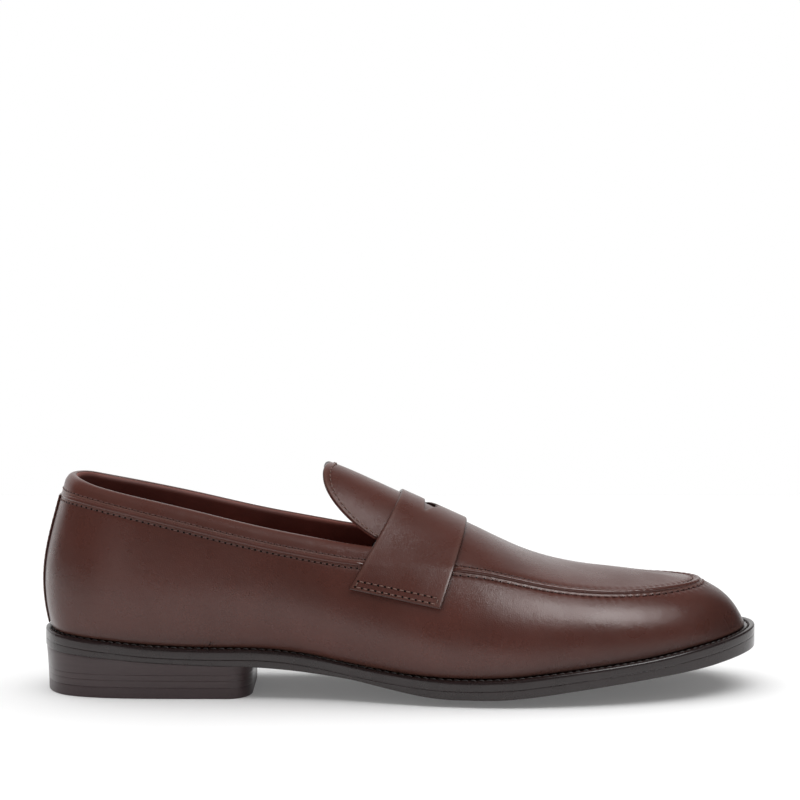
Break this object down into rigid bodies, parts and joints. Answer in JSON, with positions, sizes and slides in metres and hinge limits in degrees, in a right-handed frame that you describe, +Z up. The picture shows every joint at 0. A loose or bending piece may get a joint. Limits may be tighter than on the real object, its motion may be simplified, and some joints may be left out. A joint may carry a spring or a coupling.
{
  "type": "penny loafer",
  "caption": "Slip-on leather shoe with a moccasin apron, a slotted saddle strap and a low stacked heel; the sole bends at the ball and the tongue gives.",
  "frame": {"origin": "on the ground, under the middle of the shoe's length and width", "axes": "+X towards the toe, +Y towards the inner side of this right shoe, +Z up"},
  "size_m": [0.3002, 0.1044, 0.0946],
  "materials": {
    "upper_leather": "smooth brown calf leather, semi-gloss",
    "lining_leather": "smooth matte lining leather",
    "sole_leather": "dark waxed sole edge",
    "board": "pressed fibre board",
    "cork": "ground cork filler",
    "foam": "latex foam",
    "top_piece_rubber": "matte rubber",
    "spring_steel": "plain strip",
    "nail_brass": "plain"
  },
  "bodies": {
    "rear": {"wall_rear_outer": "upper_leather", "wall_rear_inner": "upper_leather", "back_strip": "upper_leather", "collar_band": "upper_leather", "collar_piping": "upper_leather", "apron_rear": "upper_leather", "apron_piping_outer": "upper_leather", "apron_piping_inner": "upper_leather", "saddle_strap": "upper_leather", "quarter_lining": "lining_leather", "vamp_lining_rear": "lining_leather", "heel_counter": "board", "welt_rear": "sole_leather", "cork_filler_rear": "cork", "shank": "spring_steel", "insole_rear": "board", "heel_pad": "foam", "sock_liner_rear": "lining_leather", "outsole_rear": "sole_leather", "heel_top_piece": "top_piece_rubber", "heel_lift_1": "sole_leather", "heel_lift_2": "sole_leather", "heel_seat_lift": "sole_leather", "heel_nail_1": "nail_brass", "heel_nail_2": "nail_brass", "heel_nail_3": "nail_brass", "heel_nail_4": "nail_brass", "heel_nail_5": "nail_brass"},
    "forefoot": {"wall_toe": "upper_leather", "apron_toe": "upper_leather", "apron_piping_toe": "upper_leather", "vamp_lining_toe": "lining_leather", "toe_puff": "board", "welt_toe": "sole_leather", "cork_filler_toe": "cork", "insole_toe": "board", "sock_liner_toe": "lining_leather", "outsole_toe": "sole_leather"},
    "tongue": {"tongue": "upper_leather", "tongue_lining": "lining_leather"}
  },
  "joints": [
    {"name": "forefoot_flex", "type": "hinge", "parent": "rear", "child": "forefoot", "pos_m": [0.055, 0, 0.0165], "axis": [0, -1, 0], "range_deg": [0, 28], "stiffness_Nm_per_rad": 2, "deforming": ["wall_toe", "apron_toe", "vamp_lining_toe", "apron_piping_toe"]},
    {"name": "tongue_lift", "type": "hinge", "parent": "rear", "child": "tongue", "pos_m": [-0.0001, 0, 0.0795], "axis": [0, 1, 0], "range_deg": [0, 12], "stiffness_Nm_per_rad": 0.15}
  ]
}
